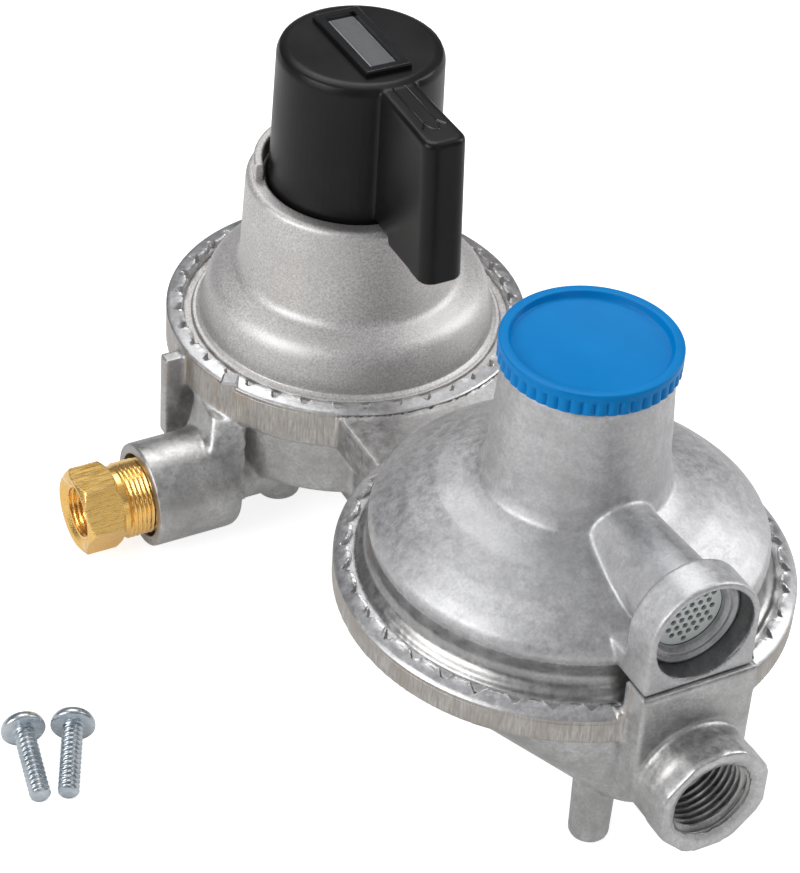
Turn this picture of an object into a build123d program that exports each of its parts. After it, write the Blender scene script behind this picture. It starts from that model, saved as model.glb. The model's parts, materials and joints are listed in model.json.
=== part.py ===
from build123d import *
import math
import os

# Two-stage changeover gas regulator.  Millimetres, +Z up along the knob axis.
# Working coordinates have the second-stage axis at x = y = 0 and the first-stage axis at x = 0, y = STAGE_GAP.
# Everything is shifted on export so that the row origin is the mouth of the front mounting post's hole.

STAGE_GAP = 92.5          # distance between the two stage axes
SHIFT_X = 10.0            # row x of both stage axes
SHIFT_Y = 33.0            # row y of the second-stage axis

# first stage (high pressure side)
RIM1_R = 38.0
RIM1_LOW = 27.0
RIM1_TOP = 36.5
CUP1_R = 35.4
CUP1_LOW = 12.6
BELLY1_R = 28.4
BELLY1_LOW = 8.0
CHAMBER1_R = 26.5
CHAMBER1_FLOOR = 11.0
SEAT1_Z = 31.4            # ledge that carries the first diaphragm
SEAT1_R = 36.2
MEMBRANE1_T = 0.8
FLANGE1_TOP = 34.05
LIP1_R = 33.6
TOWER1_TOP = 68.9
TOWER1_R = 22.2
MOUTH1_R = 18.3
STOP_WALL_TOP = 72.6
STOP_WALL_FROM = 15.0     # degrees, counter-clockwise from +X
STOP_WALL_TO = 165.0

# second stage (low pressure side)
RIM2_R = 44.2
RIM2_LOW = 32.1
RIM2_TOP = 39.3
SEAT2_Z = 35.8
SEAT2_R = 42.4
MEMBRANE2_T = 1.0
FLANGE2_TOP = 38.3
LIP2_R = 40.6
TOWER2_TOP = 85.3
TOWER2_BORE = 14.2

# inlets
INLET_Y = STAGE_GAP - 13.2
INLET_Z = 11.0
INLET_BOSS_R = 11.0
INLET_FACE_X = 53.2
INLET_INNER_X = 34.0
FITTING_HEX = 15.9        # across flats
FITTING_THREAD_R = 8.0
FITTING_HEX_NEAR = 67.8
FITTING_HEX_FAR = 59.6
SOCKET_R = 5.15           # tapping size for a 7/16-24 inverted-flare nut
SOCKET_DEPTH = 10.5

# outlet, 3/8 inch tapered pipe thread
OUTLET_Z = 24.8
OUTLET_FACE_Y = -56.5
OUTLET_FLATS = 22.4
OUTLET_R = 11.75          # round top and bottom of the collar between its flats
OUTLET_BORE_R = 7.4
OUTLET_BORE_DEPTH = 15.0

# vent
VENT_Z = 57.0
VENT_FACE_Y = -46.4
VENT_R = 11.4
VENT_BORE_R = 9.9

# inlet valves sit either side of the first-stage axis
VALVE_X = 13.0
SEAT_HOLE_R = 4.2

# mounting posts
POST_FRONT = (-10.0, -33.0)
POST_REAR = (-19.8, 82.2)
POST_FRONT_R = 3.9
POST_REAR_R = 4.7
POST_HOLE_R = 1.75
POST_FRONT_DEPTH = 13.0
POST_REAR_DEPTH = 6.0

# selector knob
KNOB_TOP = 99.5
KNOB_LOW = 61.4
KNOB_R_TOP = 16.9
KNOB_R_LOW = 17.7
LEVER_TIP = 39.5          # at the underside; the end leans back by LEVER_DRAFT at the top
LEVER_DRAFT = 2.4
LEVER_LOW = 67.4
LEVER_CLEAR = 69.4        # underside of the lever where it sweeps over the tower's lip
SPINDLE_R = 4.0

# second-stage valve train
ORIFICE_Z = 19.0
PIN_Y = -9.0
PIN_Z = 25.0
PIN_R = 1.2

# cap
CAP_R = 16.9
CAP_TOP = 90.0
CAP_LOW = 85.45

os.makedirs("parts", exist_ok=True)


def cyl(r, z0, z1, x=0.0, y=0.0):
    return Pos(x, y, (z0 + z1) / 2) * Cylinder(r, z1 - z0)


def ring(r_out, r_in, z0, z1, x=0.0, y=0.0):
    return cyl(r_out, z0, z1, x, y) - cyl(r_in, z0 - 1, z1 + 1, x, y)


def cyl_x(r, x0, x1, y, z):
    return Pos((x0 + x1) / 2, y, z) * Rot(0, 90, 0) * Cylinder(r, x1 - x0)


def cyl_y(r, y0, y1, x, z):
    return Pos(x, (y0 + y1) / 2, z) * Rot(90, 0, 0) * Cylinder(r, y1 - y0)


def block(x0, x1, y0, y1, z0, z1):
    return Pos((x0 + x1) / 2, (y0 + y1) / 2, (z0 + z1) / 2) * Box(x1 - x0, y1 - y0, z1 - z0)


def turned(points, x=0.0, y=0.0):
    outline = Polyline(*[(r, 0, z) for r, z in points], close=True)
    return Pos(x, y, 0) * revolve(make_face(outline), Axis.Z)


def cone_y(y0, r0, y1, r1, x, z):
    low = Plane((x, y0, z), x_dir=(1, 0, 0), z_dir=(0, 1, 0)) * Circle(r0)
    high = Plane((x, y1, z), x_dir=(1, 0, 0), z_dir=(0, 1, 0)) * Circle(r1)
    return loft([low, high], ruled=True)


def coil(r, wire, z0, z1, turns, x=0.0, y=0.0):
    rise = z1 - z0 - wire
    path = Helix(rise / turns, rise, r)
    section = Plane(origin=path @ 0, z_dir=path % 0) * Circle(wire / 2)
    return Pos(x, y, z0 + wire / 2) * sweep(section, path, is_frenet=True)


def mirrored_x(shape):
    return mirror(shape, Plane.YZ)


def save(name, shape):
    placed = Pos(SHIFT_X, SHIFT_Y, 0) * shape
    export_step(placed, f"parts/{name}.step")


# ---------------------------------------------------------------- lower body casting
def lower_body():
    d = STAGE_GAP
    body = cyl(RIM2_R, RIM2_LOW, RIM2_TOP)
    body += cyl(39.0, 29.4, RIM2_LOW + 0.5)
    belly_top = Plane((0, 0, RIM2_LOW + 0.2)) * Circle(41.5)
    belly_low = Plane((0, -31.0, 13.5)) * Circle(12.5)
    body += loft([belly_low, belly_top], ruled=True)
    body += block(-12.0, 12.0, -47.4, -30.0, 22.0, 46.0) - cyl(SEAT2_R, RIM2_TOP, 50.0)
    body += cyl_y(11.5, -52.0, -20.0, 0, OUTLET_Z)
    body += outlet_collar()
    body += cone_post(POST_FRONT, POST_FRONT_R, 34.0)
    body += block(-9.5, 9.5, -24.0, d - 29.0, 11.6, 32.0)
    body += cyl(RIM1_R, RIM1_LOW, RIM1_TOP, 0, d)
    body += fillet(cyl(CUP1_R, CUP1_LOW, RIM1_LOW + 0.5, 0, d).edges().group_by(Axis.Z)[0], 1.6)
    body += fillet(cyl(BELLY1_R, BELLY1_LOW, CUP1_LOW + 1.0, 0, d).edges().group_by(Axis.Z)[0], 1.6)
    body += block(-14.0, 14.0, 38.0, d - 27.0, 10.0, 28.0)
    body += block(-18.5, 18.5, 36.0, d - 30.0, 26.8, 35.2)
    body += cone_post(POST_REAR, POST_REAR_R, 10.0)
    body += cyl_x(6.4, -36.0, 36.0, INLET_Y, INLET_Z)
    for side in (-1, 1):
        boss = cyl_x(INLET_BOSS_R, INLET_INNER_X, INLET_FACE_X, INLET_Y, INLET_Z)
        boss = fillet(boss.edges().group_by(Axis.X)[0], 2.5)
        wing = boss + inlet_web()
        if side < 0:
            wing += block(27.0, 42.3, d - 1.6, d + 1.6, 14.5, 34.0)
            wing += Pos(33.64, 78.13, 33.4) * Rot(0, 0, -35.0) * Box(3.8, 3.0, 5.6)
        else:
            wing += block(27.0, 40.0, d - 1.6, d + 1.6, 14.5, RIM1_LOW + 1.0)
        body += wing if side > 0 else mirrored_x(wing)
        body += cyl(6.4, 1.0, 13.9, side * VALVE_X, d)
        body += cyl_y(4.4, INLET_Y - 2.0, d, side * VALVE_X, 7.6)
    # chambers and passages
    body -= cyl(SEAT2_R, SEAT2_Z, FLANGE2_TOP)
    body -= turned([(0, FLANGE2_TOP - 0.01), (LIP2_R, FLANGE2_TOP - 0.01), (LIP2_R + 1.2, RIM2_TOP + 0.1),
                    (0, RIM2_TOP + 0.1)])
    body -= cyl(35.0, 32.4, SEAT2_Z + 0.1)
    body -= block(-6.5, 6.5, -18.0, 16.0, 14.6, 33.0)
    body -= block(-8.0, 8.0, -31.0, -14.5, 17.6, 33.0)
    body -= cyl_y(OUTLET_BORE_R, OUTLET_FACE_Y - 1, OUTLET_FACE_Y + OUTLET_BORE_DEPTH, 0, OUTLET_Z)
    body -= cyl_y(6.2, OUTLET_FACE_Y + 10, -24.0, 0, OUTLET_Z)
    body -= cone_y(OUTLET_FACE_Y - 0.01, 10.0, OUTLET_FACE_Y + 1.3, OUTLET_BORE_R, 0, OUTLET_Z)
    body -= cyl_y(4.2, 15.0, 24.0, 0, ORIFICE_Z)
    body -= cyl_y(2.8, 23.0, d - CHAMBER1_R + 2.0, 0, ORIFICE_Z)
    body -= cyl(SEAT1_R, SEAT1_Z, FLANGE1_TOP, 0, d)
    body -= turned([(0, FLANGE1_TOP - 0.01), (LIP1_R, FLANGE1_TOP - 0.01), (LIP1_R + 2.6, RIM1_TOP + 0.1),
                    (0, RIM1_TOP + 0.1)], 0, d)
    body -= cyl(CHAMBER1_R, CHAMBER1_FLOOR, SEAT1_Z + 0.1, 0, d) - cylinder_pair(6.4, 10.0, 13.9, d)
    for side in (-1, 1):
        x = side * VALVE_X
        body -= cyl(SEAT_HOLE_R, 10.6, 14.0, x, d)
        body -= cyl(3.4, 2.9, 10.7, x, d)
        body -= cyl(4.5, 0.9, 3.0, x, d)
        body -= cyl_y(2.0, INLET_Y - 0.5, d, x, 7.6)
        outer = side * (INLET_FACE_X + 0.1)
        inner = side * (INLET_FACE_X - 10.5)
        body -= cyl_x(FITTING_THREAD_R + 0.02, min(outer, inner), max(outer, inner), INLET_Y, INLET_Z)
        deep = side * (VALVE_X - 1.8)
        body -= cyl_x(2.6, min(inner, deep), max(inner, deep), INLET_Y, INLET_Z - 0.8)
    body -= cyl(POST_HOLE_R, -0.1, POST_FRONT_DEPTH, *POST_FRONT)
    body -= cyl(POST_HOLE_R, -0.1, POST_REAR_DEPTH, *POST_REAR)
    # sockets for the lever pin in the trough walls
    body -= cyl_x(PIN_R + 0.01, -8.2, 8.2, PIN_Y, PIN_Z)
    return body


def outlet_collar():
    # six wrench flats; the collar stays round at its top and bottom
    side_r = OUTLET_FLATS / 2 / math.cos(math.radians(22.5))
    end_r = OUTLET_FLATS / 2 * math.sqrt(2)
    corners = [(side_r, 22.5), (end_r, 90), (side_r, 157.5), (side_r, 202.5), (end_r, 270), (side_r, 337.5)]
    points = [(r * math.cos(math.radians(a)), r * math.sin(math.radians(a))) for r, a in corners]
    plan = make_face(Polyline(*points, close=True)) & Circle(OUTLET_R)
    return extrude(Plane((0, OUTLET_FACE_Y, OUTLET_Z), x_dir=(1, 0, 0), z_dir=(0, 1, 0)) * plan, 5.4)


def inlet_web():
    # the shoulder that rises from the inlet boss to the underside of the first-stage rim
    back = INLET_Y + 8.0
    low = [(34.0, 68.5), (43.0, 68.5), (41.0, back), (34.0, back)]
    high = [(31.8, 73.6), (37.4, 78.4), (37.4, back), (31.8, back)]
    foot = Plane((0, 0, 12.0)) * make_face(Polyline(*low, close=True))
    head = Plane((0, 0, RIM1_LOW + 0.3)) * make_face(Polyline(*high, close=True))
    return loft([foot, head], ruled=True)


def cone_post(where, r, height):
    x, y = where
    low = Plane((x, y, 0.0)) * Circle(r)
    high = Plane((x, y, height)) * Circle(r + 0.02 * height)
    post = loft([low, high], ruled=True)
    return fillet(post.edges().group_by(Axis.Z)[0], 0.7)


def cylinder_pair(r, z0, z1, y):
    return cyl(r, z0, z1, -VALVE_X, y) + cyl(r, z0, z1, VALVE_X, y)


# ---------------------------------------------------------------- bonnets
def first_stage_bonnet():
    d = STAGE_GAP
    low = SEAT1_Z + MEMBRANE1_T
    shell = turned([
        (MOUTH1_R, TOWER1_TOP), (20.9, TOWER1_TOP), (21.8, TOWER1_TOP - 0.5), (TOWER1_R, TOWER1_TOP - 1.5),
        (22.9, 51.0), (23.4, 48.2), (25.7, 46.2), (27.8, 44.8), (29.6, 42.6), (30.7, 39.8), (31.0, 36.8),
        (31.6, 35.0), (32.2, 34.9), (32.9, FLANGE1_TOP), (36.0, FLANGE1_TOP), (36.0, low),
        (30.0, low), (28.6, 37.5), (26.8, 41.4), (24.0, 43.2), (20.4, 45.6), (20.0, 58.0),
        (7.6, 58.0), (7.6, 60.6), (MOUTH1_R, 60.6)], 0, d)
    wall = ring(20.6, 18.7, TOWER1_TOP - 0.4, STOP_WALL_TOP, 0, d)
    wall &= sector(STOP_WALL_FROM, STOP_WALL_TO, 30.0, TOWER1_TOP - 1, STOP_WALL_TOP + 1, 0, d)
    shell += wall
    return shell


def sector(a0, a1, r, z0, z1, x, y):
    steps = 12
    pts = [(0, 0)]
    for i in range(steps + 1):
        a = math.radians(a0 + (a1 - a0) * i / steps)
        pts.append((r * math.cos(a), r * math.sin(a)))
    face = make_face(Polyline(*pts, close=True))
    return Pos(x, y, z0) * extrude(face, z1 - z0)


def second_stage_bonnet():
    low = SEAT2_Z + MEMBRANE2_T
    outer = turned([
        (0, TOWER2_TOP), (15.4, TOWER2_TOP), (15.9, TOWER2_TOP - 0.5), (17.3, 62.0), (18.2, 59.8), (20.6, 58.6),
        (26.0, 56.6), (31.5, 53.6), (35.6, 50.4), (37.5, 48.6), (38.1, 47.2), (37.7, 44.0), (37.6, 42.4),
        (38.2, 40.6), (39.0, 39.8), (39.5, 39.6), (40.0, FLANGE2_TOP), (42.2, FLANGE2_TOP), (42.2, low),
        (0, low)])
    vent = cyl_y(VENT_R, VENT_FACE_Y, -38.6, 0, VENT_Z)
    vent += block(-VENT_R, VENT_R, VENT_FACE_Y, -38.6, 46.1, VENT_Z)
    vent += block(-VENT_R, VENT_R, -39.0, -33.0, 46.1, 50.5)
    vent &= block(-20, 20, -60, 0, 46.1, 90)
    neck = cone_y(-39.5, 8.4, -8.0, 6.6, 0, VENT_Z + 0.6)
    outer += vent + neck
    inner = turned([
        (0, TOWER2_TOP + 1), (TOWER2_BORE, TOWER2_TOP + 1), (TOWER2_BORE, 62.0), (16.0, 57.0), (24.0, 53.6),
        (31.0, 49.6), (34.6, 46.0), (35.0, 40.0), (35.0, low - 1), (0, low - 1)])
    shell = outer - inner
    shell -= cyl_y(VENT_BORE_R, VENT_FACE_Y - 1, VENT_FACE_Y + 6.5, 0, VENT_Z)
    shell -= cyl_y(7.2, VENT_FACE_Y + 6, VENT_FACE_Y + 11.0, 0, VENT_Z)
    shell -= cyl_y(4.0, VENT_FACE_Y + 10, -10.0, 0, VENT_Z)
    return shell


# ---------------------------------------------------------------- inlet parts (built on the +X side)
def inlet_fitting():
    hexagon = extrude(Plane((FITTING_HEX_FAR, INLET_Y, INLET_Z), x_dir=(0, 1, 0), z_dir=(1, 0, 0))
                      * RegularPolygon(FITTING_HEX / 2, 6, major_radius=False, rotation=-2),
                      FITTING_HEX_NEAR - FITTING_HEX_FAR)
    dome = Pos(FITTING_HEX_FAR + 0.2, INLET_Y, INLET_Z) * Rot(0, 90, 0) * cone_solid(10.9, 8.0, 8.4)
    fitting = hexagon & dome
    fitting += cyl_x(7.4, 57.4, FITTING_HEX_FAR + 1.5, INLET_Y, INLET_Z)
    fitting += cyl_x(FITTING_THREAD_R, INLET_FACE_X - 8.5, 57.6, INLET_Y, INLET_Z)
    near = FITTING_HEX_NEAR
    fitting -= cyl_x(SOCKET_R, near - SOCKET_DEPTH, near + 1, INLET_Y, INLET_Z)
    fitting -= Pos(near - 1.1, INLET_Y, INLET_Z) * Rot(0, 90, 0) * cone_solid(SOCKET_R, 6.3, 1.2)
    fitting -= cyl_x(1.7, INLET_FACE_X - 9, near - SOCKET_DEPTH + 1, INLET_Y, INLET_Z)
    fitting -= cyl_x(5.0, INLET_FACE_X - 9, INLET_FACE_X - 2.0, INLET_Y, INLET_Z)
    return fitting


def cone_solid(r_low, r_high, height):
    low = Plane((0, 0, 0)) * Circle(r_low)
    high = Plane((0, 0, height)) * Circle(r_high)
    return loft([low, high], ruled=True)


def inlet_filter():
    cup = cyl_x(4.9, INLET_FACE_X - 8.4, INLET_FACE_X - 2.1, INLET_Y, INLET_Z)
    return cup - cyl_x(3.9, INLET_FACE_X - 7.2, INLET_FACE_X - 1.0, INLET_Y, INLET_Z)


def inlet_seat():
    seat = cyl(SEAT_HOLE_R - 0.02, 10.65, 14.0, VALVE_X, STAGE_GAP)
    hexagon = extrude(Plane((VALVE_X, STAGE_GAP, 14.0)) * RegularPolygon(5.0, 6, major_radius=False), 1.6)
    return seat + hexagon - cyl(1.9, 10, 17, VALVE_X, STAGE_GAP)


def inlet_valve():
    x = VALVE_X
    y = STAGE_GAP
    valve = cyl(2.8, 7.6, 9.95, x, y)
    valve += cyl(1.2, 6.0, 7.7, x, y)
    valve += cyl(1.0, 9.8, 24.4, x, y)
    valve += Pos(x, y, 24.4) * Sphere(1.0)
    return valve


def valve_plug():
    plug = cyl(4.48, 1.1, 3.0, VALVE_X, STAGE_GAP)
    slot = block(VALVE_X - 3.4, VALVE_X + 3.4, STAGE_GAP - 0.5, STAGE_GAP + 0.5, 0.5, 1.9)
    return plug - slot


# ---------------------------------------------------------------- first-stage moving parts
def first_diaphragm():
    z = SEAT1_Z
    t = MEMBRANE1_T
    return turned([(6.2, z), (24.4, z), (25.0, z), (25.8, z), (36.1, z), (36.1, z + t),
                   (6.2, z + t)], 0, STAGE_GAP)


def first_plate():
    y = STAGE_GAP
    z = SEAT1_Z + MEMBRANE1_T
    plate = turned([(SPINDLE_R + 0.06, 28.6), (7.8, 28.6), (7.8, SEAT1_Z), (6.0, SEAT1_Z), (6.0, z), (19.5, z),
                    (20.6, z + 2.4), (19.8, z + 2.6), (18.8, z + 1.1), (9.0, z + 1.1), (8.0, z + 4.0),
                    (SPINDLE_R + 0.06, z + 4.0)], 0, y)
    return plate - ring(5.4, 2.0, z + 1.4, z + 2.8, 0, y)


def spindle_seal():
    z = SEAT1_Z + MEMBRANE1_T
    return ring(5.38, SPINDLE_R + 0.08, z + 1.45, z + 2.75, 0, STAGE_GAP)


def changeover_cam():
    # swash-plate disc: its underside is tilted about X, so a quarter turn lowers one valve pin and lifts the other
    y = STAGE_GAP
    disc = cyl(17.0, 24.6, 28.3, 0, y)
    tilt = Pos(0, y, 25.8) * Rot(2.6, 0, 0) * Pos(0, 0, -5.0) * Box(60, 60, 10)
    disc -= tilt
    bore = extrude(Plane((0, y, 20.0)) * Rectangle(5.3, 5.3), 12)
    return disc - bore


def selector_spindle():
    y = STAGE_GAP
    shaft = cyl(SPINDLE_R, 30.0, 62.0, 0, y)
    tail = extrude(Plane((0, y, 22.0)) * Rectangle(5.1, 5.1), 8.5)
    shaft += tail
    shaft += cyl(7.0, 61.4, 64.0, 0, y)
    shaft += extrude(Plane((0, y, 64.0)) * RegularPolygon(6.0, 6, major_radius=False), 22.0)
    shaft -= cyl(1.7, 64.6, 90.0, 0, y)
    return shaft


def first_spring():
    return coil(15.6, 2.6, 33.4 + 0.2, 56.3, 5.5, 0, STAGE_GAP)


def first_spring_seat():
    y = STAGE_GAP
    return turned([(SPINDLE_R + 0.3, 56.4), (18.6, 56.4), (18.6, 57.9), (7.2, 57.9), (7.2, 60.2),
                   (SPINDLE_R + 0.3, 60.2)], 0, y)


# ---------------------------------------------------------------- selector knob
def selector_knob():
    y = STAGE_GAP
    barrel = turned([(0, KNOB_LOW), (KNOB_R_LOW, KNOB_LOW), (KNOB_R_LOW - 0.1, 68.0), (KNOB_R_TOP, KNOB_TOP - 2.0),
                     (KNOB_R_TOP - 0.6, KNOB_TOP - 0.6), (KNOB_R_TOP - 2.0, KNOB_TOP), (0, KNOB_TOP)], 0, y)
    tip = y - LEVER_TIP
    side = [(y - 5.0, LEVER_CLEAR), (y - 22.9, LEVER_CLEAR), (y - 23.7, LEVER_LOW), (tip, LEVER_LOW),
            (tip + LEVER_DRAFT, KNOB_TOP - 1.0), (y - 5.0, KNOB_TOP - 0.5)]
    profile = make_face(Polyline(*[(0, a, b) for a, b in side], close=True))
    slab = extrude(profile, amount=6.0, both=True)
    plan = make_face(Polyline((-3.8, y), (-4.7, tip), (4.7, tip), (3.8, y), close=True))
    lever = slab & (Pos(0, 0, 60) * extrude(plan, 45.0))
    lever = fillet(lever.edges().filter_by(Axis.Z, tolerance=8).sort_by(Axis.Y)[0:2], 2.7)
    lever = fillet(lever.faces().sort_by(Axis.Z)[-1].edges(), 1.2)
    knob = barrel + lever
    window = block(-4.4, 4.4, y - 11.2, y + 11.2, 88.0, KNOB_TOP + 1)
    knob -= window
    knob -= turned([(0, 86.5), (13.0, 86.5), (15.0, KNOB_LOW - 1), (0, KNOB_LOW - 1)], 0, y)
    knob += cyl(8.6, 64.2, 87.0, 0, y)
    knob -= extrude(Plane((0, y, 63.0)) * RegularPolygon(6.04, 6, major_radius=False), 23.4)
    knob -= block(-4.4, 4.4, y - 11.2, y + 11.2, 88.0, KNOB_TOP + 1)
    knob -= cyl(1.7, 80, 90, 0, y)
    knob -= cyl(3.1, 87.2, 90, 0, y)     # room for the flag's hub at the bottom of its travel
    return knob


def window_bezel():
    y = STAGE_GAP
    outer = block(-5.0, 5.0, y - 11.9, y + 11.9, KNOB_TOP, KNOB_TOP + 1.3)
    outer += block(-4.35, 4.35, y - 11.15, y + 11.15, KNOB_TOP - 3.0, KNOB_TOP + 0.1)
    outer = fillet(outer.edges().group_by(Axis.Z)[-1], 0.4)
    outer -= block(-3.3, 3.3, y - 10.1, y + 10.1, KNOB_TOP - 4, KNOB_TOP + 3)
    return outer


def indicator_window():
    y = STAGE_GAP
    return block(-3.28, 3.28, y - 10.08, y + 10.08, KNOB_TOP - 1.6, KNOB_TOP + 0.7)


def indicator_flag():
    y = STAGE_GAP
    flag = block(-3.0, 3.0, y - 9.6, y + 9.6, 92.6, 94.4)
    return flag + cyl(2.6, 90.6, 92.7, 0, y)


def indicator_stem():
    return cyl(1.5, 68.0, 90.55, 0, STAGE_GAP)


# ---------------------------------------------------------------- second-stage valve train
def second_orifice():
    body = cyl_y(4.18, 15.6, 23.4, 0, ORIFICE_Z)
    nose = cone_y(14.0, 2.4, 15.7, 3.4, 0, ORIFICE_Z)
    return body + nose - cyl_y(1.6, 13, 25, 0, ORIFICE_Z)


def valve_disc():
    return cyl_y(3.3, 11.9, 13.6, 0, ORIFICE_Z)


def valve_holder():
    cup = cyl_y(4.1, 9.6, 13.2, 0, ORIFICE_Z) - cyl_y(3.35, 11.8, 14, 0, ORIFICE_Z)
    stem = cyl_y(2.2, -13.2, 9.8, 0, ORIFICE_Z)
    notch = block(-1.6, 1.6, PIN_Y - 1.4, PIN_Y + 1.4, ORIFICE_Z - 1.2, ORIFICE_Z + 4)
    return cup + stem - notch


def valve_guide():
    return block(-6.4, 6.4, 3.0, 7.0, 14.65, 22.4) - cyl_y(2.26, 1, 9, 0, ORIFICE_Z)


def valve_lever():
    # bell crank: hub on the pin, short arm down into the holder's notch, long arm reaching under the stem's foot
    hub = cyl_x(2.6, -3.2, 3.2, PIN_Y, PIN_Z)
    lever = hub + block(-1.3, 1.3, PIN_Y - 0.9, PIN_Y + 0.9, ORIFICE_Z - 0.5, PIN_Z)
    lever += block(-3.2, 3.2, PIN_Y + 1.0, 5.2, PIN_Z - 0.9, PIN_Z + 0.9)
    lever -= cyl_x(PIN_R + 0.05, -5, 5, PIN_Y, PIN_Z)
    slot = block(-1.8, 1.8, -3.0, 3.4, PIN_Z - 3, PIN_Z + 3)
    return lever - slot


def lever_pin():
    return cyl_x(PIN_R, -8.1, 8.1, PIN_Y, PIN_Z)


def second_diaphragm():
    z = SEAT2_Z
    t = MEMBRANE2_T
    return turned([(2.2, z), (42.3, z), (42.3, z + t), (2.2, z + t)])


def diaphragm_plate():
    z = SEAT2_Z + MEMBRANE2_T
    return turned([(2.3, z), (25.0, z), (27.0, z + 2.0), (26.2, z + 2.4), (24.4, z + 1.1), (13.6, z + 1.1),
                   (13.2, z + 2.2), (12.4, z + 2.2), (12.0, z + 1.1), (2.3, z + 1.1)])


def relief_seat():
    z = SEAT2_Z
    return turned([(2.1, z - 1.2), (16.0, z - 1.2), (17.0, z - 0.4), (17.0, z), (2.1, z)])


def relief_stem():
    stem = cyl(1.6, 23.0, 56.0)
    foot = cyl(2.3, 22.5, 23.65)
    collar = cyl(2.3, 26.4, 27.4)
    head = cyl(3.4, 33.2, SEAT2_Z - 1.25)
    return stem + foot + collar + head


def relief_spring():
    return coil(4.4, 1.0, SEAT2_Z + MEMBRANE2_T + 1.2, 50.9, 6)


def relief_nut():
    nut = extrude(Plane((0, 0, 51.0)) * RegularPolygon(5.0, 6, major_radius=False), 2.6)
    return nut - cyl(1.62, 50, 55)


def main_spring():
    return coil(10.6, 2.0, SEAT2_Z + MEMBRANE2_T + 1.2, 69.8, 7)


def spring_washer():
    return ring(13.4, 4.0, 70.0, 71.0)


def adjusting_plug():
    plug = cyl(TOWER2_BORE - 0.08, 71.2, 77.2)
    socket = extrude(Plane((0, 0, 70.0)) * RegularPolygon(5.2, 6, major_radius=False), 9)
    return plug - socket


# ---------------------------------------------------------------- cap and vent parts
def blue_cap():
    cap = turned([(0, CAP_LOW + 1.2), (12.0, CAP_LOW + 1.2), (12.6, CAP_LOW), (CAP_R, CAP_LOW), (CAP_R, CAP_TOP - 1.0),
                  (CAP_R - 0.5, CAP_TOP), (CAP_R - 1.6, CAP_TOP), (CAP_R - 2.0, CAP_TOP - 1.35), (0, CAP_TOP - 1.35)])
    flutes = 60
    groove = cyl(0.42, CAP_LOW - 1, CAP_TOP - 1.5, CAP_R + 0.16, 0)
    for i in range(flutes):
        cap -= Rot(0, 0, 360.0 * i / flutes) * groove
    return cap


def cap_skirt():
    # the threaded skirt under the cap, inside the tower
    return ring(TOWER2_BORE - 0.1, 13.2, 78.6, CAP_LOW)


def cap_seal():
    return ring(12.9, 11.4, 78.0, 79.4)


def vent_ring():
    y = VENT_FACE_Y
    return cyl_y(VENT_BORE_R - 0.02, y + 4.4, y + 6.45, 0, VENT_Z) - cyl_y(7.4, y + 3, y + 7, 0, VENT_Z)


def vent_screen():
    y = VENT_FACE_Y
    screen = cyl_y(7.15, y + 6.6, y + 7.2, 0, VENT_Z)
    pitch = 1.75
    holes = []
    for row in range(-4, 5):
        for col in range(-5, 6):
            u = pitch * (col + 0.5 * (row % 2))
            v = pitch * 0.866 * row
            if math.hypot(u, v) < 6.2:
                holes.append(cyl_y(0.56, y + 6, y + 8, u, VENT_Z + v))
    return cut_all(screen, holes)


def cut_all(shape, tools):
    for tool in tools:
        shape -= tool
    return shape


# ---------------------------------------------------------------- loose mounting screws
def mounting_screw():
    # lying on its head rim and its tip, axis along +X before it is turned into place
    length = 15.9
    head_r = 4.3
    shank = cyl_x(2.05, 0.0, length, 0, 0)
    head = Pos(0, 0, 0) * Rot(0, -90, 0) * turned([(0, -0.1), (head_r, -0.1), (head_r, 1.1), (head_r - 1.0, 2.3),
                                                   (head_r - 2.4, 2.8), (0, 2.8)])
    screw = shank + head
    cross = Box(1.7, 4.6, 1.0) + Box(1.7, 1.0, 4.6)
    screw -= Pos(-2.3, 0, 0) * cross
    return screw


def lay_screw(x, y, heading):
    head_r = 4.3
    shank_r = 2.05
    length = 15.9
    dip = math.degrees(math.asin((head_r - shank_r) / (length + 1.1)))
    laid = Rot(0, dip, 0) * mounting_screw()
    low = laid.bounding_box().min.Z
    return Pos(x, y, 0) * Rot(0, 0, heading) * (Pos(0, 0, -low) * laid)


save("lower_body", lower_body())
save("first_stage_bonnet", first_stage_bonnet())
save("second_stage_bonnet", second_stage_bonnet())
for name, shape in (("inlet_fitting", inlet_fitting()), ("inlet_filter", inlet_filter()),
                    ("inlet_seat", inlet_seat()), ("inlet_valve", inlet_valve())):
    save(name + "_right", shape)
    save(name + "_left", mirrored_x(shape))
plug = valve_plug()
save("valve_plugs", Compound([plug, mirrored_x(plug)]))
spring = coil(2.2, 0.5, 3.1, 7.5, 4, VALVE_X, STAGE_GAP)
save("valve_spring_right", spring)
save("valve_spring_left", Pos(-2 * VALVE_X, 0, 0) * spring)
save("first_diaphragm", first_diaphragm())
save("first_plate", first_plate())
save("changeover_cam", changeover_cam())
save("selector_spindle", selector_spindle())
save("first_spring", first_spring())
save("first_spring_seat", first_spring_seat())
save("selector_knob", selector_knob())
save("window_bezel", window_bezel())
save("indicator_window", indicator_window())
save("indicator_flag", indicator_flag())
save("indicator_stem", indicator_stem())
save("spindle_seal", spindle_seal())
save("second_orifice", second_orifice())
save("valve_disc", valve_disc())
save("valve_holder", valve_holder())
save("valve_guide", valve_guide())
save("valve_lever", valve_lever())
save("lever_pin", lever_pin())
save("second_diaphragm", second_diaphragm())
save("diaphragm_plate", diaphragm_plate())
save("relief_seat", relief_seat())
save("relief_stem", relief_stem())
save("relief_spring", relief_spring())
save("relief_nut", relief_nut())
save("main_spring", main_spring())
save("spring_washer", spring_washer())
save("adjusting_plug", adjusting_plug())
save("blue_cap", blue_cap())
save("cap_skirt", cap_skirt())
save("cap_seal", cap_seal())
save("vent_ring", vent_ring())
save("vent_screen", vent_screen())
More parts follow.
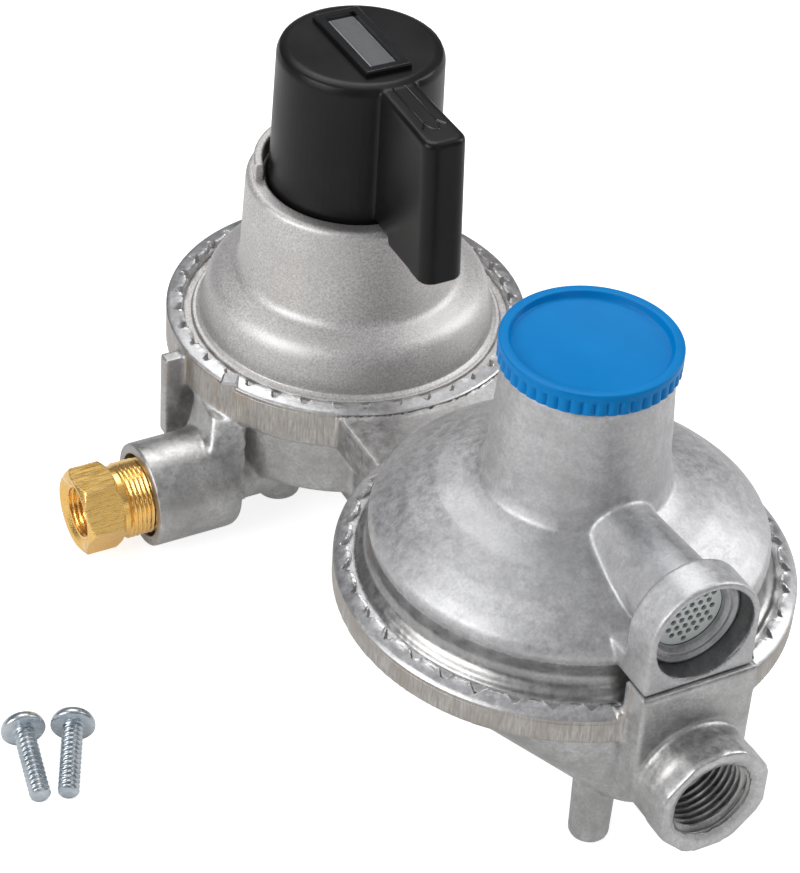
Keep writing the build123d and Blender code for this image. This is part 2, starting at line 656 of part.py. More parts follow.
save("mounting_screw_1", lay_screw(-98.3, 31.0, -101.0))
save("mounting_screw_2", lay_screw(-89.1, 28.7, -114.0))
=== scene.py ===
"""Looks for the two-stage propane regulator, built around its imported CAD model.

Sizes and places are in millimetres in the row frame. They become metres when a mesh is made.
"""
import json
import math
import random

import bmesh
import bpy
from mathutils import Matrix, Vector, noise


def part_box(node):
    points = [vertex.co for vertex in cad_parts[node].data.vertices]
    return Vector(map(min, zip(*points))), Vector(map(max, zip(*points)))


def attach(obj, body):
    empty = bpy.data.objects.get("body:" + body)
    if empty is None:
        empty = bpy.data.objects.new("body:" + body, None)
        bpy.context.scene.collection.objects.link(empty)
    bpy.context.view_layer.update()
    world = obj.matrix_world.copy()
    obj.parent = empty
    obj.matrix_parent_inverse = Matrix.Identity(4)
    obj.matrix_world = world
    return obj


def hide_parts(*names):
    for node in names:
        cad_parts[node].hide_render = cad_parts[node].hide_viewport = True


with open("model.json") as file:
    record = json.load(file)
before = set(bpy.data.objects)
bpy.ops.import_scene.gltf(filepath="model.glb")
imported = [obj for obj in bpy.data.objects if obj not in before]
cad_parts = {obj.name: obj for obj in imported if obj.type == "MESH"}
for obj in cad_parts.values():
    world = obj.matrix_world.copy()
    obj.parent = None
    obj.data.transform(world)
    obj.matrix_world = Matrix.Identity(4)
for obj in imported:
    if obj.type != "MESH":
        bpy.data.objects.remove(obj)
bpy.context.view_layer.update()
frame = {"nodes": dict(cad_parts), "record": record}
NODES = frame["nodes"]
MM = 0.001
TURN = 2 * math.pi

# the two stage axes
STAGE_1 = Vector((10.0, 125.5, 0.0))
STAGE_2 = Vector((10.0, 33.0, 0.0))

# rims of the lower casting. outer: outer radius. lip: inner radius of the rolled lip. top: its highest
# point. drop: how far the lip falls towards its outer edge. flange: top of the bonnet's flange.
# notches: how many. notch: half width, length outwards, and how square its end is.
# bow: how far the lip bows in between the notches
RIM_1 = {"centre": STAGE_1, "outer": 38.0, "lip": 34.7, "top": 36.5, "drop": 0.7, "flange": 34.05,
         "notches": 36, "notch": (0.85, 1.7, 3.0), "bow": 0.5}
RIM_2 = {"centre": STAGE_2, "outer": 44.2, "lip": 41.2, "top": 39.3, "drop": 1.5, "flange": 38.3,
         "notches": 38, "notch": (1.25, 1.6, 1.0), "bow": 0.7}
RIM_SIDE_HEIGHT = 8.6       # machined part of a rim's side, below its top
LIP_SKIRT = 0.8             # the lip's own wall, below which the casting's wall shows

# the flat pad beside the left inlet: a point near its middle, the direction along it, the one it faces
PAD = Vector((-24.5, 109.9, 0.0))
PAD_ACROSS = Vector((0.819, -0.574, 0.0))
PAD_OUT = Vector((-0.574, -0.819, 0.0))
PAD_LOW = 31.2
PAD_TOP = 36.8

# inlets
INLET_Y = 112.3
INLET_Z = 11.0
BOSS_FACE = 53.2            # from the centre plane x = 10
BOSS_HOLE_R = 8.9
BOSS_HOLE_DEPTH = 4.0
INLET_BORE_R = 6.0
THREAD_R = 8.0

# outlet
OUTLET_Z = 24.8
OUTLET_FACE = -23.5
OUTLET_BORE_R = 7.4
OUTLET_CREST_R = 7.55
OUTLET_ROOT_R = 8.6
OUTLET_DEPTH = 14.4
PIPE_TAPER = 1 / 32         # loss of radius along the thread

# vent
VENT_Z = 57.0
VENT_FACE = -13.4
VENT_BORE_R = 9.9
VENT_RING_R = 7.6
VENT_SCREEN_AT = 6.6        # from the vent's face
VENT_BLOCK_HALF = 13.5      # half width and length of the space kept for the vent's block
VENT_BLOCK_LENGTH = 10

# loose screws
SCREW_LENGTH = 15.9
SHANK_R = 2.05
HEAD_R = 4.3
SCREW_PITCH = 1.13


# ---------------------------------------------------------------- mesh helpers
def place(name, data):
    """A new object in the scene."""
    obj = bpy.data.objects.new(name, data)
    bpy.context.scene.collection.objects.link(obj)
    return obj


def add_object(name, mesh, body, material):
    """Puts the mesh in the scene on a body. material may be a list, which painted faces index."""
    obj = place(name, mesh)
    painted = [polygon.material_index for polygon in mesh.polygons]
    mesh.materials.clear()
    for m in material if isinstance(material, list) else [material]:
        mesh.materials.append(m)
    mesh.polygons.foreach_set("material_index", painted)
    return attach(obj, body)


def finish_mesh(bm, name, sharp_deg):
    """Recalculates normals and marks edges sharper than sharp_deg, so the rest shades smooth."""
    bmesh.ops.remove_doubles(bm, verts=bm.verts, dist=1e-7)
    bmesh.ops.recalc_face_normals(bm, faces=bm.faces)
    limit = math.radians(sharp_deg)
    for face in bm.faces:
        face.smooth = True
    for edge in bm.edges:
        edge.smooth = len(edge.link_faces) == 2 and edge.calc_face_angle(0.0) < limit
    mesh = bpy.data.meshes.new(name)
    bm.to_mesh(mesh)
    bm.free()
    return mesh


def skin_mesh(name, rings, loop=False, sharp_deg=40):
    """A closed surface through rings of equal length, in millimetres.

    loop joins the last ring to the first. Otherwise each end is closed with one face.
    """
    bm = bmesh.new()
    rows = [[bm.verts.new(Vector(p) * MM) for p in ring] for ring in rings]
    count = len(rows[0])
    pairs = list(zip(rows, rows[1:] + rows[:1])) if loop else list(zip(rows, rows[1:]))
    for low, high in pairs:
        for j in range(count):
            k = (j + 1) % count
            bm.faces.new((low[j], low[k], high[k], high[j]))
    if not loop:
        bm.faces.new(rows[0][::-1])
        bm.faces.new(rows[-1])
    return finish_mesh(bm, name, sharp_deg)


def circle(centre, axis, radius, along, columns):
    """A ring about an axis ('X', 'Y' or 'Z') through centre. radius may be a function of the angle."""
    points = []
    for j in range(columns):
        a = TURN * j / columns
        r = radius(a) if callable(radius) else radius
        u, v = r * math.cos(a), r * math.sin(a)
        offset = {"X": (along, u, v), "Y": (u, along, v), "Z": (u, v, along)}[axis]
        points.append(Vector(centre) + Vector(offset))
    return points


def rounded(corners, steps=5):
    """Corners are (r, h, radius). Returns the outline with each corner rounded by an arc."""
    out = []
    for i, (r, h, radius) in enumerate(corners):
        here = Vector((r, h))
        before = Vector(corners[i - 1][:2]) - here
        after = Vector(corners[(i + 1) % len(corners)][:2]) - here
        if radius <= 0 or before.length < 1e-6 or after.length < 1e-6:
            out.append((r, h))
            continue
        half = before.angle(after) / 2
        reach = min(radius / math.tan(half), 0.49 * before.length, 0.49 * after.length)
        start = here + before.normalized() * reach
        end = here + after.normalized() * reach
        for s in range(steps + 1):
            t = s / steps
            bent = start * (1 - t) ** 2 + here * 2 * t * (1 - t) + end * t ** 2
            out.append((bent.x, bent.y))
    return out


def turned_loop(name, corners, centre, axis="Z", columns=160, sharp_deg=40):
    """A ring-shaped solid turned from a closed outline."""
    rings = [circle(centre, axis, r, h, columns) for r, h in rounded(corners)]
    return skin_mesh(name, rings, loop=True, sharp_deg=sharp_deg)


def recast(name, node, voxel, passes):
    """The node's own solid with the soft edges of a die casting or a moulding.

    voxel is in millimetres. passes is how many times the surface is smoothed.
    """
    source = NODES[node].data.copy()
    bm = bmesh.new()
    bm.from_mesh(source)
    bmesh.ops.remove_doubles(bm, verts=bm.verts, dist=1e-6)
    bm.to_mesh(source)
    bm.free()
    temp = place(name + "_solid", source)
    remesh = temp.modifiers.new("voxels", "REMESH")
    remesh.mode = "VOXEL"
    remesh.voxel_size = voxel * MM
    smooth = temp.modifiers.new("soften", "SMOOTH")
    smooth.factor = 0.5
    smooth.iterations = passes
    bpy.context.view_layer.update()
    ready = temp.evaluated_get(bpy.context.evaluated_depsgraph_get())
    mesh = bpy.data.meshes.new_from_object(ready)
    mesh.name = name
    bpy.data.objects.remove(temp)
    for polygon in mesh.polygons:
        polygon.use_smooth = True
    return mesh


def paint(mesh, index, test):
    """Gives material number index to each face whose centre (mm) and normal pass the test."""
    for polygon in mesh.polygons:
        if test(polygon.center / MM, polygon.normal):
            polygon.material_index = index


# ---------------------------------------------------------------- materials
class Shader:
    """A small node-tree builder. Lengths are in millimetres and use object coordinates."""

    def __init__(self, name):
        self.material = bpy.data.materials.new(name)
        self.material.use_nodes = True
        self.tree = self.material.node_tree
        self.surface = self.tree.nodes["Principled BSDF"]
        self.coords = self.tree.nodes.new("ShaderNodeTexCoord").outputs["Object"]

    def node(self, kind, **settings):
        made = self.tree.nodes.new(kind)
        for key, value in settings.items():
            setattr(made, key, value)
        return made

    def link(self, output, target):
        self.tree.links.new(output, target)

    def fix(self, **values):
        """Sets constant surface values. An underscore in a name stands for a space."""
        for key, value in values.items():
            self.surface.inputs[key.replace("_", " ")].default_value = value
        return self

    def grain(self, size, detail=4.0, rough=0.55, stretch=(1, 1, 1), warp=0.0):
        """Noise whose features are about size millimetres across."""
        mapping = self.node("ShaderNodeMapping")
        mapping.inputs["Scale"].default_value = stretch
        self.link(self.coords, mapping.inputs["Vector"])
        made = self.node("ShaderNodeTexNoise")
        made.inputs["Scale"].default_value = 1 / (size * MM)
        made.inputs["Detail"].default_value = detail
        made.inputs["Roughness"].default_value = rough
        made.inputs["Distortion"].default_value = warp
        self.link(mapping.outputs["Vector"], made.inputs["Vector"])
        return made.outputs["Fac"]

    def span(self, value, from_low, from_high, to_low, to_high):
        """Maps value from one range onto another and clamps it there."""
        made = self.node("ShaderNodeMapRange")
        for socket, number in zip(("From Min", "From Max", "To Min", "To Max"),
                                  (from_low, from_high, to_low, to_high)):
            made.inputs[socket].default_value = number
        self.link(value, made.inputs["Value"])
        return made.outputs["Result"]

    def mix(self, fac, a, b):
        """Colour a where fac is 0 and b where it is 1. Each may be a constant or a socket."""
        made = self.node("ShaderNodeMix", data_type="RGBA")
        for key, value in (("Factor", fac), ("A", a), ("B", b)):
            socket = [s for s in made.inputs if s.name == key and s.enabled][0]
            if isinstance(value, (int, float)):
                socket.default_value = value
            elif isinstance(value, tuple):
                socket.default_value = (*value, 1.0)
            else:
                self.link(value, socket)
        return [s for s in made.outputs if s.enabled][0]

    def edges(self, low, high):
        """1 on sharp outer edges, 0 elsewhere."""
        made = self.node("ShaderNodeNewGeometry")
        return self.span(made.outputs["Pointiness"], low, high, 0.0, 1.0)

    def colour(self, value):
        self.link(value, self.surface.inputs["Base Color"])

    def roughness(self, value):
        self.link(value, self.surface.inputs["Roughness"])

    def bump(self, *layers):
        """Each layer is (height, depth in millimetres)."""
        normal = None
        for height, depth in layers:
            made = self.node("ShaderNodeBump")
            made.inputs["Strength"].default_value = 1.0
            made.inputs["Distance"].default_value = depth * MM
            self.link(height, made.inputs["Height"])
            if normal:
                self.link(normal, made.inputs["Normal"])
            normal = made.outputs["Normal"]
        self.link(normal, self.surface.inputs["Normal"])


def cast_metal(name, light, dark, rough=(0.30, 0.50), pits=0.02, flow=0.02):
    """Die-cast zinc or aluminium: faint flow marks, mottled patches, fine dark grain and soft pits."""
    s = Shader(name).fix(Metallic=1.0)
    clouds = s.grain(9.0, detail=6.0, rough=0.65, warp=0.3)
    mottle = s.grain(1.8, detail=5.0, rough=0.7)
    speckle = s.grain(0.6, detail=3.0, rough=0.6)
    tone = s.mix(s.span(clouds, 0.34, 0.66, 0.0, 1.0), dark, light)
    deep = tuple(0.72 * c for c in dark)
    tone = s.mix(s.span(mottle, 0.34, 0.56, 0.50, 0.0), tone, deep)
    tone = s.mix(s.span(speckle, 0.36, 0.56, 0.35, 0.0), tone, deep)
    s.colour(tone)
    s.roughness(s.span(mottle, 0.35, 0.65, rough[0], rough[1]))
    s.bump((clouds, flow), (mottle, pits), (speckle, pits * 0.4))
    return s.material


def brushed_side(name):
    """The rim's outer wall: machined, brownish grey, with fine marks running up the wall."""
    s = Shader(name).fix(Metallic=1.0)
    strokes = s.grain(0.45, detail=5.0, rough=0.7, stretch=(1, 1, 0.12))
    patches = s.grain(7.0, detail=4.0, rough=0.65)
    tone = s.mix(s.span(strokes, 0.36, 0.64, 0.0, 1.0), (0.36, 0.335, 0.31), (0.62, 0.605, 0.58))
    tone = s.mix(s.span(patches, 0.42, 0.62, 0.0, 0.65), tone, (0.40, 0.36, 0.32))
    s.colour(tone)
    s.roughness(s.span(strokes, 0.3, 0.7, 0.36, 0.58))
    s.bump((strokes, 0.035), (patches, 0.10))
    return s.material


def blasted_metal(name):
    """Bead-blasted aluminium: an even, fine, matt texture."""
    s = Shader(name).fix(Metallic=1.0)
    beads = s.grain(0.42, detail=3.0, rough=0.6)
    clouds = s.grain(14.0, detail=3.0)
    tone = s.mix(s.span(beads, 0.32, 0.68, 0.0, 1.0), (0.50, 0.485, 0.48), (0.82, 0.805, 0.795))
    tone = s.mix(s.span(clouds, 0.4, 0.6, 0.0, 0.25), tone, (0.50, 0.49, 0.48))
    s.colour(tone)
    s.roughness(s.span(beads, 0.3, 0.7, 0.48, 0.62))
    s.bump((beads, 0.045))
    return s.material


def brass_metal(name):
    """Turned brass bar with drawing marks along X and a paler colour on its sharp edges."""
    s = Shader(name).fix(Metallic=1.0)
    drawn = s.grain(0.25, detail=3.0, rough=0.5, stretch=(0.06, 1, 1))
    clouds = s.grain(5.0, detail=4.0)
    tone = s.mix(s.span(drawn, 0.3, 0.7, 0.0, 1.0), (0.98, 0.60, 0.17), (1.0, 0.69, 0.25))
    tone = s.mix(s.span(clouds, 0.45, 0.7, 0.0, 0.4), tone, (0.95, 0.56, 0.16))
    # paler colour on sharp edges, found by pointiness
    tone = s.mix(s.edges(0.52, 0.60), tone, (1.0, 0.82, 0.50))
    s.colour(tone)
    s.roughness(s.span(drawn, 0.3, 0.7, 0.20, 0.36))
    s.bump((drawn, 0.012), (clouds, 0.03))
    return s.material


def steel(name, light, dark, rough=(0.18, 0.38), grain=0.6):
    """Plain or plated metal. grain is the size of its texture in millimetres."""
    s = Shader(name).fix(Metallic=1.0)
    cloud = s.grain(grain * 4, detail=4.0)
    fine = s.grain(grain * 0.6, detail=3.0)
    s.colour(s.mix(s.span(cloud, 0.35, 0.65, 0.0, 1.0), dark, light))
    s.roughness(s.span(fine, 0.35, 0.65, rough[0], rough[1]))
    s.bump((fine, 0.012), (cloud, 0.02))
    return s.material


def plastic(name, light, dark, rough=(0.32, 0.42), texture=0.30, depth=0.008, **fixed):
    """Moulded plastic, rubber or paint. texture and depth are the size and height of its skin."""
    s = Shader(name).fix(**fixed)
    skin = s.grain(texture, detail=2.0)
    cloud = s.grain(12.0, detail=4.0)
    tone = s.mix(s.span(cloud, 0.35, 0.65, 0.0, 1.0), dark, light)
    s.colour(tone)
    s.roughness(s.span(cloud, 0.35, 0.65, rough[0], rough[1]))
    s.bump((skin, depth))
    return s.material


def clear_plastic(name, rough, tint):
    """A partly clear window that still shows its own grey tint."""
    s = Shader(name).fix(Transmission_Weight=0.55, IOR=1.49)
    haze = s.grain(1.6, detail=4.0)
    s.colour(s.mix(s.span(haze, 0.4, 0.6, 0.0, 1.0), tint, tuple(0.94 * c for c in tint)))
    s.roughness(s.span(haze, 0.35, 0.7, rough, rough + 0.12))
    s.bump((haze, 0.02))
    return s.material


CAST = cast_metal("cast_zinc", (0.66, 0.655, 0.65), (0.44, 0.435, 0.43), (0.36, 0.54), pits=0.05)
CAST_BONNET = cast_metal("cast_bonnet", (0.68, 0.68, 0.685), (0.54, 0.54, 0.545), (0.47, 0.60),
                         pits=0.045)
ROLLED = cast_metal("rolled_lip", (0.70, 0.70, 0.705), (0.50, 0.50, 0.505), (0.34, 0.48), pits=0.03)
RIM_SIDE = brushed_side("rim_side")
# polished groove: its lower roughness is a real polish, and its darker colour is a painted reflection of
# dark surroundings
GROOVE_PAINTED_REFLECTION = cast_metal("polished_groove_painted_reflection", (0.52, 0.515, 0.51), (0.40, 0.395, 0.39), (0.28, 0.40),
                    pits=0.012)
# painted shade: a darker copy of the cast metal for the vent recess's walls
SHADED = cast_metal("vent_recess_painted_shade", (0.34, 0.34, 0.345), (0.22, 0.22, 0.225), (0.35, 0.5))
# painted shade: near-black metal behind the vent's screen, so that its holes look dark
PASSAGE_SHADE = cast_metal("vent_passage_painted_shade", (0.05, 0.05, 0.05), (0.03, 0.03, 0.03), (0.5, 0.65))
BLASTED = blasted_metal("blasted_aluminium")
BRASS = brass_metal("brass")
BRONZE = steel("sintered_bronze", (0.50, 0.33, 0.16), (0.36, 0.22, 0.10), (0.5, 0.7), grain=0.3)
ZINC = steel("zinc_plate", (0.62, 0.66, 0.70), (0.44, 0.48, 0.52))
SCREW_ZINC = steel("screw_zinc", (0.62, 0.67, 0.71), (0.46, 0.52, 0.56), (0.24, 0.36), grain=1.6)
SPRING = steel("spring_steel", (0.50, 0.51, 0.53), (0.34, 0.35, 0.37))
RUBBER = plastic("membrane_rubber", (0.03, 0.03, 0.03), (0.018, 0.018, 0.018), (0.55, 0.7), 0.5, 0.03)
ACETAL = plastic("acetal", (0.78, 0.77, 0.72), (0.70, 0.69, 0.65), (0.35, 0.45))
KNOB = plastic("knob_plastic", (0.008, 0.008, 0.008), (0.005, 0.005, 0.005), (0.30, 0.38),
               Specular_IOR_Level=0.24)
BEZEL = plastic("bezel_plastic", (0.010, 0.010, 0.011), (0.006, 0.006, 0.007), (0.10, 0.18), 0.8, 0.01)
BLUE = plastic("blue_plastic", (0.0, 0.215, 0.57), (0.0, 0.195, 0.53), (0.28, 0.38), 0.35, 0.010,
               Specular_IOR_Level=0.12)
FLAG = plastic("flag_plastic", (0.58, 0.59, 0.61), (0.48, 0.49, 0.51), (0.3, 0.4))
LENS = clear_plastic("window_clear", 0.06, (0.30, 0.31, 0.32))
# opaque pale grey colour for the window's bevel
PALE_BEVEL = plastic("window_edge", (0.62, 0.64, 0.66), (0.38, 0.40, 0.42), (0.15, 0.3), 0.4, 0.03)
SCREEN = plastic("screen_paint", (0.88, 0.93, 0.90), (0.80, 0.85, 0.82), (0.35, 0.5), 0.4, 0.01)
SLOT_MATERIALS = {
    "cast_zinc": CAST, "cast_zinc_bonnet": CAST_BONNET, "blasted_aluminium": BLASTED, "brass": BRASS,
    "bronze_mesh": BRONZE, "seat_metal": BRASS, "spring_steel": SPRING, "zinc_plated_steel": ZINC,
    "membrane_rubber": RUBBER, "seal_rubber": RUBBER, "cam_plastic": ACETAL, "knob_plastic": KNOB,
    "bezel_plastic": BEZEL, "window_clear": LENS, "flag_plastic": FLAG, "blue_plastic": BLUE,
    "screen_metal": SCREEN, "screw_zinc": SCREW_ZINC,
}


def dress_cad_nodes():
    """Gives each CAD node the material of its slot. Some nodes are replaced further down."""
    for row in frame["record"]["subparts"]:
        obj = NODES[row["node"]]
        obj.data.materials.clear()
        obj.data.materials.append(SLOT_MATERIALS[row["material_slot"]])


# ---------------------------------------------------------------- lower casting
def from_axis(point, rim):
    """Distance of a point from the rim's axis."""
    return (point - rim["centre"]).to_2d().length


def lower_casting():
    """The zinc casting, lowered under the rolled lips and widened where threads and fittings sit."""
    mesh = recast("body_casting", "lower_body", 0.5, 5)
    for vertex in mesh.vertices:
        p = vertex.co / MM
        below_vent = p.y < VENT_FACE + VENT_BLOCK_LENGTH and abs(p.x - STAGE_2.x) < VENT_BLOCK_HALF
        for rim in (RIM_1, RIM_2):
            shelf = rim["top"] - rim["drop"] - LIP_SKIRT
            under_lip = rim["lip"] - 2.6 < from_axis(p, rim) < rim["outer"] + 0.15
            if under_lip and p.z > shelf and not below_vent:
                p.z = shelf
        bore = math.hypot(p.x - STAGE_2.x, p.z - OUTLET_Z)
        if bore < OUTLET_BORE_R + 0.5 and OUTLET_FACE - 0.5 < p.y < OUTLET_FACE + OUTLET_DEPTH:
            scale = (OUTLET_ROOT_R + 0.2) / max(bore, 0.1)
            p.x = STAGE_2.x + (p.x - STAGE_2.x) * scale
            p.z = OUTLET_Z + (p.z - OUTLET_Z) * scale
        side = abs(p.x - STAGE_1.x)
        mouth = math.hypot(p.y - INLET_Y, p.z - INLET_Z)
        if INLET_BORE_R < mouth < BOSS_HOLE_R and side > BOSS_FACE - BOSS_HOLE_DEPTH:
            scale = BOSS_HOLE_R / mouth
            p.y = INLET_Y + (p.y - INLET_Y) * scale
            p.z = INLET_Z + (p.z - INLET_Z) * scale
        vertex.co = p * MM

    def on_rim_side(c, n):
        if abs(n.z) > 0.5:
            return False
        return any(abs(from_axis(c, rim) - rim["outer"]) < 0.5 and c.z > rim["top"] - RIM_SIDE_HEIGHT
                   for rim in (RIM_1, RIM_2))

    def on_outlet_face(c, n):
        return n.y < -0.9 and c.y < OUTLET_FACE + 0.6

    paint(mesh, 1, on_rim_side)
    paint(mesh, 2, on_outlet_face)
    obj = add_object("body_casting", mesh, "regulator_body", [CAST, RIM_SIDE, ROLLED])
    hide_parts("lower_body")


def rolled_lip(name, rim, seed):
    """The rim's edge rolled over the bonnet's flange: a smooth band staked by small notches."""
    dice = random.Random(seed)
    notches = [(dice.uniform(0.85, 1.15), dice.uniform(0.85, 1.15), dice.uniform(-0.35, 0.35))
               for _ in range(rim["notches"])]
    half_width, length, squareness = rim["notch"]
    notch_depth = 3.2
    burr_height, burr_width = 0.20, 0.7
    uneven_width = 1.3          # the inner edge is uneven this far outwards
    columns = rim["notches"] * 30
    width = rim["outer"] - rim["lip"]
    edge_z = rim["top"] - rim["drop"]
    pitch = TURN * rim["lip"] / rim["notches"]
    floor = rim["flange"] - 0.12
    buried = rim["flange"] - 0.5

    # outline: share of the lip's width measured outwards from its inner edge, and height
    wall = [(0.93, edge_z - 1.2), (1.0, edge_z - LIP_SKIRT), (1.0, edge_z - 0.08), (0.98, edge_z)]
    slope = [(share, edge_z + rim["drop"] * min(1.0, (1 - share) * 1.2) ** 0.75)
             for share in (0.86, 0.76, 0.66, 0.57, 0.49, 0.42, 0.35, 0.29, 0.23, 0.17, 0.12, 0.07, 0.03)]
    drop_off = [(0.0, rim["top"] - 0.12), (-0.015, rim["top"] - 0.4), (0.02, floor), (0.5, buried)]

    def waves(r, a, pattern, scale):
        return noise.noise(Vector((r * math.cos(a), r * math.sin(a), seed + pattern)) * scale)

    rings = []
    for share, z in wall + slope + drop_off:
        out = max(0.0, share) * width
        near = max(0.0, 1 - out / uneven_width)
        ring = []
        for j in range(columns):
            a = TURN * j / columns
            turn = a / TURN * rim["notches"]
            off_notch = turn - round(turn)
            wide, long, shift = notches[round(turn) % rim["notches"]]
            across = abs(off_notch * pitch - shift)
            bite = 1 - (across / (half_width * wide)) ** squareness - (out / (length * long)) ** 1.2
            r = rim["lip"] + share * width
            height = z
            if share < 0.9:
                sweep, ripple, crisp = waves(r, a, 0, 0.16), waves(r, a, 5, 0.8), waves(r, a, 9, 3.0)
                # between notches the inner edge bows inwards, and each notch has a burr round it
                bow = 0.5 * math.cos(math.pi * min(1.0, abs(off_notch) * 2))
                r += near * (rim["bow"] * bow + 0.22 * ripple + 0.10 * crisp)
                height += 0.08 * sweep + near * (0.10 * ripple + 0.08 * crisp)
                if bite > 0:
                    height = max(height - notch_depth * bite, floor)
                elif bite > -burr_width:
                    height += burr_height * math.sin(math.pi * min(1.0, -bite / burr_width)) * near
                height = max(height, buried)
            ring.append(rim["centre"] + Vector((r * math.cos(a), r * math.sin(a), height)))
        rings.append(ring)
    mesh = skin_mesh(name, rings, loop=True, sharp_deg=35)
    paint(mesh, 1, lambda c, n: n.z < 0.3 and from_axis(c, rim) > rim["outer"] - 0.35)
    add_object(name, mesh, "regulator_body", [ROLLED, RIM_SIDE])


def rim_pad():
    """The small flat pad on the first rim beside the left inlet, with a worn upper edge."""
    half, front, back = 1.75, 0.95, -2.4
    worn_height, worn_inset = 0.4, 0.45
    rings = []
    for z, inset in ((PAD_LOW, 0.0), (PAD_TOP - worn_height, 0.0), (PAD_TOP, worn_inset)):
        u, v = half - inset, front - inset
        rings.append([PAD + PAD_ACROSS * x + PAD_OUT * y + Vector((0, 0, z))
                      for x, y in ((-u, back), (u, back), (u, v), (-u, v))])
    mesh = skin_mesh("rim_pad", rings, sharp_deg=30)
    paint(mesh, 1, lambda c, n: abs(n.z) < 0.3)
    add_object("rim_pad", mesh, "regulator_body", [ROLLED, RIM_SIDE])


def outlet_thread():
    """The outlet's internal pipe thread: a lining whose inner face is a tapered helix."""
    pitch = 1.41
    length = 13.2
    steps_per_turn = 8
    chamfer_length, run_out = 1.2, 1.5
    columns = 144
    start = OUTLET_FACE + 1.1
    back_r = OUTLET_ROOT_R + 0.35
    centre = Vector((STAGE_2.x, 0, OUTLET_Z))
    rings = [circle(centre, "Y", back_r, start, columns)]
    total = int(length / pitch * steps_per_turn)
    for i in range(total + 1):
        along = length * i / total

        def radius(a, along=along):
            phase = (along / pitch - a / TURN) % 1.0
            tooth = 1 - abs(2 * phase - 1)
            ridge = min(1.0, max(0.0, (tooth - 0.10) / 0.78))
            crest = OUTLET_CREST_R - along * PIPE_TAPER
            root = OUTLET_ROOT_R - along * PIPE_TAPER
            chamfer = max(0.0, 1.0 - along / chamfer_length)
            fade = max(0.0, min(1.0, (length - along) / run_out))
            return root - (root - crest) * ridge * (1 - chamfer) * fade - 0.02

        rings.append(circle(centre, "Y", radius, start + along, columns))
    rings.append(circle(centre, "Y", back_r, start + length, columns))
    mesh = skin_mesh("outlet_thread", rings, loop=True, sharp_deg=70)
    add_object("outlet_thread", mesh, "regulator_body", CAST)


# ---------------------------------------------------------------- bonnets
def second_bonnet():
    """The large cast bonnet, with a polished groove round its foot coloured darker as a painted
    reflection, and a vent darkened with painted shade.
    """
    mesh = recast("second_bonnet_casting", "second_stage_bonnet", 0.42, 7)
    groove_inner, groove_outer, groove_top = 36.0, 40.2, 45.4

    def in_groove(c, n):
        return (groove_inner < from_axis(c, RIM_2) < groove_outer
                and RIM_2["flange"] - 0.2 < c.z < groove_top)

    def in_vent(c, radius, first, last):
        from_vent = math.hypot(c.x - STAGE_2.x, c.z - VENT_Z)
        return from_vent < radius and VENT_FACE + first < c.y < VENT_FACE + last

    # painted reflection: the groove round the bonnet's foot gets the darker groove colour
    paint(mesh, 1, in_groove)
    # painted shade on the walls of the vent's recess
    paint(mesh, 2, lambda c, n: in_vent(c, VENT_BORE_R + 0.3, 0.4, 9))
    # painted shade: the passage behind the screen is coloured near-black
    paint(mesh, 3, lambda c, n: in_vent(c, VENT_RING_R, VENT_SCREEN_AT, 20))
    obj = add_object("second_bonnet_casting", mesh, "regulator_body",
                     [CAST_BONNET, GROOVE_PAINTED_REFLECTION, SHADED, PASSAGE_SHADE])
    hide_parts("second_stage_bonnet")


def first_bonnet():
    """The bead-blasted bonnet over the changeover stage, turned from one outline."""
    # radius, height, rounding
    corners = [
        (20.0, 58.0, 0), (7.6, 58.0, 0), (7.6, 60.6, 0), (18.3, 60.6, 0), (18.3, 68.9, 0.7),
        (22.15, 68.9, 1.6), (23.0, 47.2, 3.2), (29.3, 44.0, 6.0), (31.0, 35.5, 0.5), (31.8, 35.0, 0.5),
        (32.5, 35.0, 0.35), (32.7, 34.15, 0.3), (35.9, 34.05, 0), (35.9, 32.25, 0), (30.0, 32.25, 0),
        (28.6, 37.5, 1), (26.8, 41.4, 1), (24.0, 43.2, 1), (20.4, 45.6, 1)]
    mesh = turned_loop("first_bonnet_casting", corners, STAGE_1, columns=240, sharp_deg=60)
    obj = add_object("first_bonnet_casting", mesh, "regulator_body", BLASTED)
    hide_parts("first_stage_bonnet")
    stop_wall()


def stop_wall():
    """A raised arc on the rear of the bonnet's mouth that the selector's lever stops against."""
    inner, outer, low, high = 18.7, 20.7, 67.5, 72.6
    first, last, steps = 15.0, 165.0, 60        # degrees round the axis
    outline = rounded([(inner, low, 0), (outer, low, 0), (outer, high, 0.7), (inner, high, 0.7)])
    rings = []
    for i in range(steps + 1):
        a = math.radians(first + (last - first) * i / steps)
        rings.append([STAGE_1 + Vector((r * math.cos(a), r * math.sin(a), z)) for r, z in outline])
    mesh = skin_mesh("stop_wall", rings)
    obj = add_object("stop_wall", mesh, "regulator_body", BLASTED)
    bevel = obj.modifiers.new("soft_edges", "BEVEL")
    bevel.width = 0.45 * MM
    bevel.segments = 3
    bevel.limit_method = "ANGLE"
    bevel.angle_limit = math.radians(40)
    bevel.harden_normals = True


